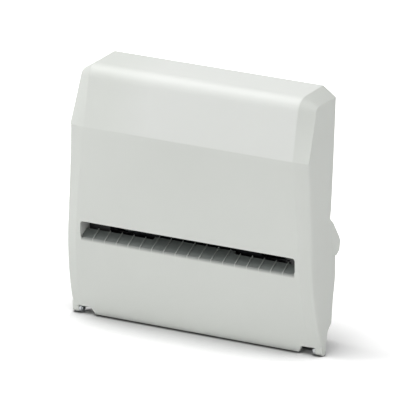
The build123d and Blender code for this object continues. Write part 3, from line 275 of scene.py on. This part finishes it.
def can(x, z):
    """An electrolytic can: rings round Y, each a share of the radius and of the height, with the
    rolled groove near its foot and the shoulder at its top."""
    turn = np.linspace(0, 2 * math.pi, 25)[:-1]
    ring = np.array([[0.0, 0.0], [1.0, 0.0], [1.0, 0.12], [0.9, 0.16], [1.0, 0.2], [1.0, 0.94],
                     [0.93, 1.0], [0.85, 0.985], [0.0, 0.985]])[:, :, None]
    return np.stack([x + CAN_RADIUS * ring[:, 0] * np.cos(turn),
                     BOARD_FACE - CAN_HEIGHT * ring[:, 1] + 0 * turn,
                     z + CAN_RADIUS * ring[:, 0] * np.sin(turn)], -1)


def solder_mask():
    """Green solder mask on glass fibre: under it upright copper tracks 1.3 mm apart, which break off
    at random, show as a lighter green and lift the mask a little."""
    made, tree, body, place = start_material("solder_mask_green", IOR=1.5)
    laid = add_node(tree, "ShaderNodeMapping", {"Vector": place, "Scale": (770.0, 770.0, 60.0)})
    tracks = add_node(tree, "ShaderNodeTexNoise", {"Vector": laid.outputs[0], "Scale": 1.0, "Detail": 0.0})
    green = add_node(tree, "ShaderNodeValToRGB", {"Fac": tracks.outputs["Fac"]},
                     stops=((0.0, "12482A"), (0.49, "12482A"), (0.53, "2C7A48"), (1.0, "2C7A48")))
    finish_surface(tree, body, green.outputs["Color"], tracks.outputs["Fac"], 0.2, 0.00004, 0.33, 0.04)
    return made


black_abs = moulded_plastic("abs_black", "1C1D1E", "161718", 0.42)
dress(black_abs, "power_inlet", "power_rocker", "rocker_frame", "board_posts")
dress(solder_mask(), "controller_board")
dress(metal("tinned_steel", "D3D4D3", "BFC1C1", 0.3), "usb_port")
epoxy = moulded_plastic("epoxy_chip", "202122", "1A1B1C", 0.5)
can_sleeve = metal("can_aluminium", "D0D2D4", "C2C5C8", 0.3, (900.0, 80.0, 900.0))
for k, (dx, dz, wide, high, thick) in enumerate(CHIPS):
    skin(f"board_chip_{k}", package(BOARD_X0 + dx, BOARD_Z0 + dz, wide, high, thick), (False, True),
         "chassis", epoxy)
for k, (dx, dz) in enumerate(CANS):
    skin(f"board_can_{k}", can(BOARD_X0 + dx, BOARD_Z0 + dz), (False, True), "chassis",
         can_sleeve)

# Drive. A stepper motor turns the platen gear over an idler, and a belt from the platen's other
# end turns the take-up spindle. Gears, pulleys and bushes are black acetal, moulded; the belt is
# neoprene. The motor is a stack of stamped steel laminations between two cast end caps.
MOTOR_X, STACK_HALF, LEAF = 0.070, 0.0071, 0.001


def motor_stack():
    """Stepper motor: dark laminations between cast end caps 7 mm deep. The laminations are stamped
    0.5 mm thick and drawn 1 mm, so that they show."""
    made, tree, body, place = start_material("stepper_stack", Metallic=0.6)
    x = add_node(tree, "ShaderNodeSeparateXYZ", {"Vector": place}).outputs["X"]
    turns = add_node(tree, "ShaderNodeMath", {0: x, 1: 2 * math.pi / LEAF}, operation="MULTIPLY")
    lines = add_node(tree, "ShaderNodeMath", {0: turns.outputs[0]}, operation="SINE")
    leaf = add_node(tree, "ShaderNodeValToRGB", {"Fac": lines.outputs[0]},
                    stops=((0.2, "1C1D1F"), (0.8, "34363A")))
    cast = add_node(tree, "ShaderNodeTexNoise", {"Vector": place, "Scale": 1500.0, "Detail": 2.0})
    cap = add_node(tree, "ShaderNodeValToRGB", {"Fac": cast.outputs["Fac"]},
                   stops=((0.3, "4A4C4F"), (0.7, "5A5C5F")))
    stack = add_node(tree, "ShaderNodeMath", {0: x, 1: MOTOR_X, 2: STACK_HALF}, operation="COMPARE")
    both = add_node(tree, "ShaderNodeMix", {
        0: stack.outputs[0], 6: cap.outputs["Color"], 7: leaf.outputs["Color"]}, data_type="RGBA")
    finish_surface(tree, body, both.outputs[2], cast.outputs["Fac"], 0.3, 0.00003, 0.45, 0.06)
    return made


dress(moulded_plastic("acetal_black", "232425", "1C1D1E", 0.36), "motor_pinion", "idler_gear",
      "platen_gear", "platen_pulley", "takeup_pulley", "platen_bushes")
dress(rubber("neoprene_belt", "131313", "1E1E1E", 0.0005), "drive_belt")
dress(motor_stack(), "stepper_motor")
dress(ground_steel, "platen_shaft", "idler_axle", "head_pivot_shaft", "hinge_pins", "motor_screws")

# Platen. A steel shaft with silicone rubber moulded on it, ground round; the wheel leaves
# fine rings, which give it a dull sheen. It presses the label to the head.


def ground_rubber():
    """Ground silicone rubber: rings of the grinding wheel round the roller, drawn 0.6 mm apart."""
    made, tree, body, place = start_material("ground_silicone", IOR=1.41)
    laid = add_node(tree, "ShaderNodeMapping", {"Vector": place, "Scale": (1700.0, 25.0, 25.0)})
    rings = add_node(tree, "ShaderNodeTexNoise", {"Vector": laid.outputs[0], "Scale": 1.0, "Detail": 2.0})
    black = add_node(tree, "ShaderNodeValToRGB", {"Fac": rings.outputs["Fac"]},
                     stops=((0.35, "161617"), (0.7, "222223")))
    finish_surface(tree, body, black.outputs["Color"], rings.outputs["Fac"], 0.3, 0.00002, 0.62, 0.08)
    return made


dress(ground_rubber(), "platen_rubber")

# Print head. An extruded aluminium body, pressed down by leaf springs of tempered steel; a green
# moulded lever lifts it. The ceramic heater strip under its nose isn't drawn.
dress(metal("extruded_aluminium", "A4A7AA", "94979B", 0.34), "print_head")
dress(metal("tempered_spring_steel", "8E9298", "7A7E86", 0.28), "pressure_springs")
dress(moulded_plastic("acetal_green", "1F7A5C", "196B50", 0.4), "head_lever")

# Ribbon. Two moulded spindles turn card cores with wax and resin transfer film wound on them.
# The film is 0.1 mm thick here, where the real one is 0.01 mm; it runs from the supply roll
# round the rod and under the head, and up through the carrier to the take-up roll.
SUPPLY, TAKE_UP = (0.002, 0.182, 0.0165), (0.003, 0.140, 0.011)    # y, z and radius
ROD, HEEL = (-0.0115, 0.0853, 0.001), (0.0080, 0.0883, 0.00025)    # the head's heel, y, z and radius
NIP_Y, NIP_Z = (-0.004, 0.0003), 0.08415
CORE_R, RIBBON_HALF = 0.0085, 0.055
FILM_HALF, FILM_THICK, FILM_CLEAR = RIBBON_HALF - 0.0002, 0.0001, 0.00006


def transfer_film():
    """Coated polyester film: black wax ink with an oily gloss and faint streaks, 2.5 mm wide, along
    its run."""
    made, tree, body, place = start_material("transfer_film", IOR=1.55)
    laid = add_node(tree, "ShaderNodeMapping", {"Vector": place, "Scale": (400.0, 20.0, 20.0)})
    streaks = add_node(tree, "ShaderNodeTexNoise", {"Vector": laid.outputs[0], "Scale": 1.0, "Detail": 3.0})
    black = add_node(tree, "ShaderNodeValToRGB", {"Fac": streaks.outputs["Fac"]},
                     stops=((0.3, "0C0C0D"), (0.7, "121214")))
    finish_surface(tree, body, black.outputs["Color"], streaks.outputs["Fac"], 0.1, 0.00002, 0.26, 0.03)
    return made


def kraft_card():
    """Card tube: grey-brown kraft paper with streaks along it, about 12 mm long and 1 mm wide."""
    made, tree, body, place = start_material("wound_card", IOR=1.45)
    laid = add_node(tree, "ShaderNodeMapping", {
        "Vector": place, "Rotation": (0.0, 0.0, 0.6), "Scale": (80.0, 900.0, 900.0)})
    plies = add_node(tree, "ShaderNodeTexNoise", {"Vector": laid.outputs[0], "Scale": 1.0, "Detail": 4.0})
    brown = add_node(tree, "ShaderNodeValToRGB", {"Fac": plies.outputs["Fac"]},
                     stops=((0.3, "8F744E"), (0.7, "AE936B")))
    finish_surface(tree, body, brown.outputs["Color"], plies.outputs["Fac"], 0.3, 0.00005, 0.8, 0.06)
    return made


def wound_roll(y, z, radius, seed):
    """A wound roll: a closed profile (x, r) turned round X. Its ends step in by up to 0.15 mm from
    one turn of film to the next, drawn 0.5 mm thick, and its outside waves by 0.05 mm along X."""
    turn_thick, turn_flat, step, wave, waves = 0.0005, 0.00045, 0.00015, 0.00005, 900.0
    rng = np.random.default_rng(seed)
    layers = np.arange(CORE_R, radius, turn_thick)
    out = np.repeat(RIBBON_HALF - rng.uniform(0, step, len(layers)), 2)
    r_end = np.stack([layers, layers + turn_flat], -1).ravel().clip(CORE_R, radius)
    x_top = np.linspace(RIBBON_HALF, -RIBBON_HALF, 41)
    r_top = radius - wave * (1 - np.cos(x_top * waves)) / 2
    profile_x = np.concatenate([out, x_top, -out[::-1]])[:, None]
    profile_r = np.concatenate([r_end, r_top, r_end[::-1]])[:, None]
    turn = np.linspace(0, 2 * math.pi, 73)[:-1]
    return np.stack([profile_x + 0 * turn, y + profile_r * np.cos(turn), z + profile_r * np.sin(turn)], -1)


def tangent(c0, r0, c1, r1):
    """Ends of the line that touches two circles; a negative radius takes the circle's other side.
    The line's normal n makes n.(c1 - c0) = r0 - r1, so n is the direction between them turned by
    acos((r0 - r1) / d)."""
    across = np.subtract(c1, c0)
    angle = math.atan2(across[1], across[0]) + math.acos((r0 - r1) / np.hypot(*across))
    n = np.array([math.cos(angle), math.sin(angle)])
    return c0 + r0 * n, c1 + r1 * n


def arc(centre, start, end, steps):
    """Points on the shorter arc from start to end round centre: centre + r * (cos a, sin a)."""
    a, b = (math.atan2(p[1] - centre[1], p[0] - centre[0]) for p in (start, end))
    b = a + (b - a + math.pi) % (2 * math.pi) - math.pi
    angle = np.linspace(a, b, steps)
    r = math.dist(start, centre)
    return np.stack([centre[0] + r * np.cos(angle), centre[1] + r * np.sin(angle)], -1)


def film_path():
    """The film's line in (y, z): straight between the circles that it touches, and bent on an arc
    at each, with FILM_CLEAR of air to the rolls and the rod."""
    supply, take_up, rod, heel = (np.array(c[:2]) for c in (SUPPLY, TAKE_UP, ROD, HEEL))
    off, on_rod = tangent(supply, -(SUPPLY[2] + FILM_CLEAR), rod, -(ROD[2] + FILM_CLEAR))
    under_rod = rod + (0, -ROD[2] - FILM_CLEAR)
    nip = np.array([[y, NIP_Z] for y in NIP_Y])
    on_heel = tangent(nip[1], 0.0, heel, HEEL[2])[1]
    off_heel, on_roll = tangent(heel, HEEL[2], take_up, TAKE_UP[2] + FILM_CLEAR)
    return np.concatenate([[off], arc(rod, on_rod, under_rod, 12), nip,
                           arc(heel, on_heel, off_heel, 10), [on_roll]])


def film_strip(path, half):
    """A ribbon of film: the path moved by half its thickness to both sides makes a closed loop,
    which is carried along X. At each end the loop closes on the path itself."""
    along = np.gradient(path, axis=0)
    normal = np.stack([-along[:, 1], along[:, 0]], -1) / np.hypot(*along.T)[:, None]
    loop = np.concatenate([path + normal * FILM_THICK / 2, (path - normal * FILM_THICK / 2)[::-1]])
    middle = np.concatenate([path, path[::-1]])
    x = np.array([-half, -half, -half / 3, half / 3, half, half])[:, None]
    inside = np.array([0.0, 1.0, 1.0, 1.0, 1.0, 0.0])[:, None]
    y, z = (loop[:, k] * inside + (1 - inside) * middle[:, k] for k in (0, 1))
    return np.stack([x + 0 * y, y, z], -1)


dress(black_abs, "takeup_spindle", "supply_spindle")
dress(kraft_card(), "takeup_core", "supply_core")
film = transfer_film()
for roll, place, seed in (("supply", SUPPLY, 5), ("takeup", TAKE_UP, 9)):
    made_roll = skin(f"{roll}_film_roll", wound_roll(*place, seed), (True, True), roll, film)
    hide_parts(f"{roll}_ribbon")
skin("film_run", film_strip(film_path(), FILM_HALF), (False, True), "chassis",
     film, 60.0)
dress(ground_steel, "ribbon_rod")

# Label path. Two edge guides of dark grey plastic slide on the label table, and the hardened
# tear bar is blackened in hot oxide.
dress(moulded_plastic("guide_dark_grey", "4A4D50", "404346", 0.45), "right_edge_guide", "left_edge_guide")
dress(metal("black_oxide_steel", "2E2F31", "232426", 0.36), "tear_bar")

# Front cover. One light grey ABS moulding with a fine spark texture, and low runners moulded
# in its slot. Painted shade darkens the slot's lower lip and the runners, and painted light
# lifts the forehead. The chute behind them is a moulding of its own, in greyer ABS whose dark
# grey is partly painted shade of the slot; the magnets are sintered.
SLOT_HALF, SLOT_LOW, SLOT_HIGH = 0.1037, 0.0702, 0.0834
RIB_PITCH, RIB_HALF = 0.01146, 0.0006
CREASE_Z, PANEL_HALF, FACE_BACK = 0.1632, 0.1008, -0.0276
LIP_FADE, UPPER_LIP, SLOT_END, RIB_EDGE, CREASE_SOFT = 0.0038, 0.003, 0.001, 0.0002, 0.0004


def cover_plastic():
    """The cover's ABS. Painted light makes the forehead a shade lighter, above the crease and up to
    the right-hand facet, fading out towards the left. Inside the slot's ends two zones carry painted
    shade: the lip, which fades over LIP_FADE down the face and gets less of it on the runners' ends,
    and the runners behind the face, which stand above SLOT_LOW. The upper lip has none."""
    made = moulded_plastic("abs_cover", "DADDD8", "D6D9D4", 0.48)
    tree = made.node_tree
    base = tree.nodes["Principled BSDF"].inputs["Base Color"]
    plain = base.links[0].from_socket
    place = add_node(tree, "ShaderNodeTexCoord").outputs["Object"]
    xyz = add_node(tree, "ShaderNodeSeparateXYZ", {"Vector": place})
    side = add_node(tree, "ShaderNodeMath", {0: xyz.outputs["X"]}, operation="ABSOLUTE")
    inside = add_node(tree, "ShaderNodeMapRange", {
        "Value": side.outputs[0], "From Min": SLOT_HALF - SLOT_END, "From Max": SLOT_HALF,
        "To Min": 1.0, "To Max": 0.0})
    below = add_node(tree, "ShaderNodeMath", {0: xyz.outputs["Z"], 1: SLOT_HIGH - UPPER_LIP},
                     operation="LESS_THAN")
    within = add_node(tree, "ShaderNodeMath", {0: inside.outputs[0], 1: below.outputs[0]},
                      operation="MULTIPLY")
    # painted shade on the slot's lower lip, fading down the face, with less of it on the runners' ends
    lip_shade_fade = add_node(tree, "ShaderNodeMapRange", {
        "Value": xyz.outputs["Z"], "From Min": SLOT_LOW - LIP_FADE, "From Max": SLOT_LOW},
        interpolation_type="SMOOTHSTEP")
    front = add_node(tree, "ShaderNodeMath", {0: xyz.outputs["Y"], 1: FACE_BACK}, operation="LESS_THAN")
    lip = add_node(tree, "ShaderNodeMath", {0: lip_shade_fade.outputs[0], 1: front.outputs[0]},
                   operation="MULTIPLY")
    lip = add_node(tree, "ShaderNodeMath", {0: lip.outputs[0], 1: within.outputs[0]},
                   operation="MULTIPLY")
    from_rib = add_node(tree, "ShaderNodeMath", {0: side.outputs[0], 1: RIB_PITCH / 2},
                        operation="PINGPONG")
    beside = add_node(tree, "ShaderNodeMapRange", {
        "Value": from_rib.outputs[0], "From Min": RIB_HALF - RIB_EDGE, "From Max": RIB_HALF,
        "To Min": 0.65, "To Max": 1.0})
    lip = add_node(tree, "ShaderNodeMath", {0: lip.outputs[0], 1: beside.outputs[0]},
                   operation="MULTIPLY")
    # painted shade on the runners behind the face, inside the slot
    raised = add_node(tree, "ShaderNodeMath", {0: xyz.outputs["Z"], 1: SLOT_LOW - 0.0003},
                      operation="GREATER_THAN")
    runner = add_node(tree, "ShaderNodeMath", {0: 1.0, 1: front.outputs[0]}, operation="SUBTRACT")
    runner = add_node(tree, "ShaderNodeMath", {0: runner.outputs[0], 1: raised.outputs[0]},
                      operation="MULTIPLY")
    runner = add_node(tree, "ShaderNodeMath", {0: runner.outputs[0], 1: within.outputs[0]},
                      operation="MULTIPLY")
    # painted light on the forehead, above the crease and fading towards the left
    leaning = add_node(tree, "ShaderNodeMapRange", {
        "Value": xyz.outputs["Z"], "From Min": CREASE_Z - CREASE_SOFT, "From Max": CREASE_Z + CREASE_SOFT,
        "To Max": 0.6})
    faded = add_node(tree, "ShaderNodeMapRange", {
        "Value": xyz.outputs["X"], "From Min": -0.8 * PANEL_HALF, "From Max": -0.4 * PANEL_HALF})
    edge = add_node(tree, "ShaderNodeMapRange", {
        "Value": xyz.outputs["X"], "From Min": PANEL_HALF - 0.0015, "From Max": PANEL_HALF + 0.0005,
        "To Min": 1.0, "To Max": 0.0})
    middle = add_node(tree, "ShaderNodeMath", {0: faded.outputs[0], 1: edge.outputs[0]},
                      operation="MULTIPLY")
    forehead_painted_light = add_node(tree, "ShaderNodeMath", {0: leaning.outputs[0], 1: middle.outputs[0]},
                     operation="MULTIPLY")
    # the forehead's painted light lifts the colour towards E4E6E3
    shell = add_node(tree, "ShaderNodeMix", {0: forehead_painted_light.outputs[0], 6: plain, 7: linear("E4E6E3")},
                     data_type="RGBA")
    # the painted shade of the lip and the runners goes over the colour
    painted_light_and_shade = add_node(tree, "ShaderNodeMix", {
        0: lip.outputs[0], 6: shell.outputs[2], 7: linear("6A6E6B")}, data_type="RGBA")
    painted_light_and_shade = add_node(tree, "ShaderNodeMix", {
        0: runner.outputs[0], 6: painted_light_and_shade.outputs[2], 7: linear("8A8F8B")}, data_type="RGBA")
    tree.links.new(painted_light_and_shade.outputs[2], base)
    return made


dress(cover_plastic(), "front_cover")
# the chute's dark grey is partly painted shade, standing in for the shade inside the slot
dress(moulded_plastic("abs_chute_grey_painted_shade", "6A706D", "646A67", 0.6), "slot_chute")
dress(moulded_plastic("sintered_magnet", "5C5D60", "4F5053", 0.5), "catch_magnets")

# Studio floor and world. A wide round sheet of white paper lies under a world that looks
# white but lights almost nothing, so the lamps alone shape the object.
FLOOR_Z, FLOOR_RADIUS = cad_low.z, 14.0
SHADOW_REACH, TOUCH_REACH, GLOW_NEAR, GLOW_FAR, SKY_LIGHT = 0.1, 0.005, 0.3, 1.2, 0.02


def seen_ray(tree):
    """1 on rays from the camera, a mirror or glass, and 0 on the rays that light the object."""
    rays = add_node(tree, "ShaderNodeLightPath")
    seen = add_node(tree, "ShaderNodeMath", {
        0: rays.outputs["Is Camera Ray"], 1: rays.outputs["Is Glossy Ray"]}, operation="ADD")
    seen = add_node(tree, "ShaderNodeMath", {
        0: seen.outputs[0], 1: rays.outputs["Is Transmission Ray"]}, operation="ADD")
    return seen.outputs[0]


def paper_white():
    """White paper: matt, and its own light for camera, mirror and glass rays brings it to white
    around the shadow. The glow grows from GLOW_NEAR to GLOW_FAR, where the lamps weaken. Close to
    the object, where less sky is open, a painted shadow lowers the glow and darkens the paper's tone
    over SHADOW_REACH, and a darker painted contact shadow follows over TOUCH_REACH. Only seen rays
    meet the first painted shadow's tone, so that the paper still lights the object's foot."""
    made, tree, body, place = start_material("white_paper", Roughness=0.9)
    fibre = add_node(tree, "ShaderNodeTexNoise", {"Vector": place, "Scale": 30.0, "Detail": 3.0})
    paper = add_node(tree, "ShaderNodeValToRGB", {"Fac": fibre.outputs["Fac"]},
                     stops=((0.0, "F2F2F2"), (1.0, "F4F4F4")))
    # painted soft shadow on the paper round the object, where less sky is open
    wide = add_node(tree, "ShaderNodeAmbientOcclusion", {"Distance": SHADOW_REACH}, samples=16)
    clear = add_node(tree, "ShaderNodeMapRange", {
        "Value": wide.outputs["AO"], "From Min": 0.45, "From Max": 0.94})
    unseen = add_node(tree, "ShaderNodeMath", {0: 1.0, 1: seen_ray(tree)}, operation="SUBTRACT")
    pale = add_node(tree, "ShaderNodeMath", {0: clear.outputs[0], 1: unseen.outputs[0]},
                    operation="MAXIMUM")
    soft = add_node(tree, "ShaderNodeMix", {
        0: pale.outputs[0], 6: linear("C6C6C6"), 7: paper.outputs["Color"]}, data_type="RGBA")
    # a darker painted contact shadow where the object meets the paper
    near = add_node(tree, "ShaderNodeAmbientOcclusion", {"Distance": TOUCH_REACH}, samples=16)
    touch = add_node(tree, "ShaderNodeMapRange", {
        "Value": near.outputs["AO"], "From Min": 0.5, "From Max": 0.85})
    painted_contact_shadow = add_node(tree, "ShaderNodeMix", {
        0: touch.outputs[0], 6: linear("5E5E5E"), 7: soft.outputs[2]}, data_type="RGBA")
    tree.links.new(painted_contact_shadow.outputs[2], body.inputs["Base Color"])
    away = add_node(tree, "ShaderNodeVectorMath", {0: place}, operation="LENGTH")
    glow = add_node(tree, "ShaderNodeMapRange", {
        "Value": away.outputs["Value"], "From Min": GLOW_NEAR, "From Max": GLOW_FAR,
        "To Min": 0.5, "To Max": 1.0})
    glow = add_node(tree, "ShaderNodeMath", {0: glow.outputs[0], 1: seen_ray(tree)},
                    operation="MULTIPLY")
    glow = add_node(tree, "ShaderNodeMath", {0: glow.outputs[0], 1: clear.outputs[0]},
                    operation="MULTIPLY")
    body.inputs["Emission Color"].default_value = (1.0, 1.0, 1.0, 1.0)
    tree.links.new(glow.outputs[0], body.inputs["Emission Strength"])
    return made


def paper_disc():
    """A round sheet: rings whose radius falls as a cube towards the middle, where the last one is
    a point."""
    turn = np.linspace(0, 2 * math.pi, 65)[:-1]
    ring = FLOOR_RADIUS * np.linspace(1.0, 0.0, 13)[:, None] ** 3
    points = np.stack([ring * np.cos(turn), ring * np.sin(turn), 0 * ring * turn + FLOOR_Z], -1)
    made = bpy.data.objects.new("paper_floor", grid_mesh("paper_floor", points, (False, True)))
    bpy.context.scene.collection.objects.link(made)
    return made


floor = paper_disc()
floor.data.materials.append(paper_white())
floor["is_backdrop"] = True

world = bpy.data.worlds.new("studio")
bpy.context.scene.world = world
world.use_nodes = True
world.node_tree.nodes.clear()
sky_strength = add_node(world.node_tree, "ShaderNodeMath", {
    0: seen_ray(world.node_tree), 1: SKY_LIGHT}, operation="MAXIMUM")
sky = add_node(world.node_tree, "ShaderNodeBackground", {
    "Color": (1.0, 1.0, 1.0, 1.0), "Strength": sky_strength.outputs[0]})
add_node(world.node_tree, "ShaderNodeOutputWorld", {"Surface": sky.outputs[0]})

# Lamps. Wide soft boxes: two over the object, the left one the stronger, three weak ones in
# front, a low one at the right and one behind.
LAMP_AIM = Vector((0.0, 0.0, 0.1))


def lamp(name, place, size, watts):
    """A square area lamp at place, size metres wide, turned to LAMP_AIM."""
    light = bpy.data.lights.new(name, "AREA")
    light.shape = "SQUARE"
    light.size = size
    light.energy = watts
    made = bpy.data.objects.new(name, light)
    made.location = place
    made.rotation_euler = (LAMP_AIM - Vector(place)).to_track_quat("-Z", "Y").to_euler()
    bpy.context.scene.collection.objects.link(made)


lamp("top_left_lamp", (-1.3, -0.3, 1.9), 1.4, 33.0)
lamp("top_right_lamp", (1.4, -0.3, 1.9), 1.4, 20.5)
lamp("front_left_lamp", (-1.6, -1.6, 1.0), 1.4, 6.0)
lamp("front_low_lamp", (0.0, -2.3, 0.35), 1.2, 7.6)
lamp("top_front_lamp", (0.0, -1.4, 1.8), 1.4, 6.0)
lamp("right_low_lamp", (1.9, -0.6, 0.25), 1.0, 4.5)
lamp("rear_lamp", (-0.5, 2.5, 0.4), 1.6, 14.0)

# The camera looks 15.8 degrees down from 32.8 degrees right of the front, so far off that
# the lines stay almost parallel.
AZIMUTH, ELEVATION, DISTANCE = math.radians(32.79), math.radians(15.77), 7.244
AIM = Vector((0.000345, -0.004465, 0.107582))
back = Vector((math.sin(AZIMUTH) * math.cos(ELEVATION), -math.cos(AZIMUTH) * math.cos(ELEVATION),
               math.sin(ELEVATION)))
lens = bpy.data.cameras.new("camera")
lens.sensor_width = 36.0
lens.lens = 786.2
lens.clip_end = 50.0
camera = bpy.data.objects.new("camera", lens)
camera.location = AIM + back * DISTANCE
camera.rotation_euler = (-back).to_track_quat("-Z", "Y").to_euler()
bpy.context.scene.collection.objects.link(camera)
bpy.context.scene.camera = camera
bpy.context.scene.view_settings.view_transform = "Standard"

low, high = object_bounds()
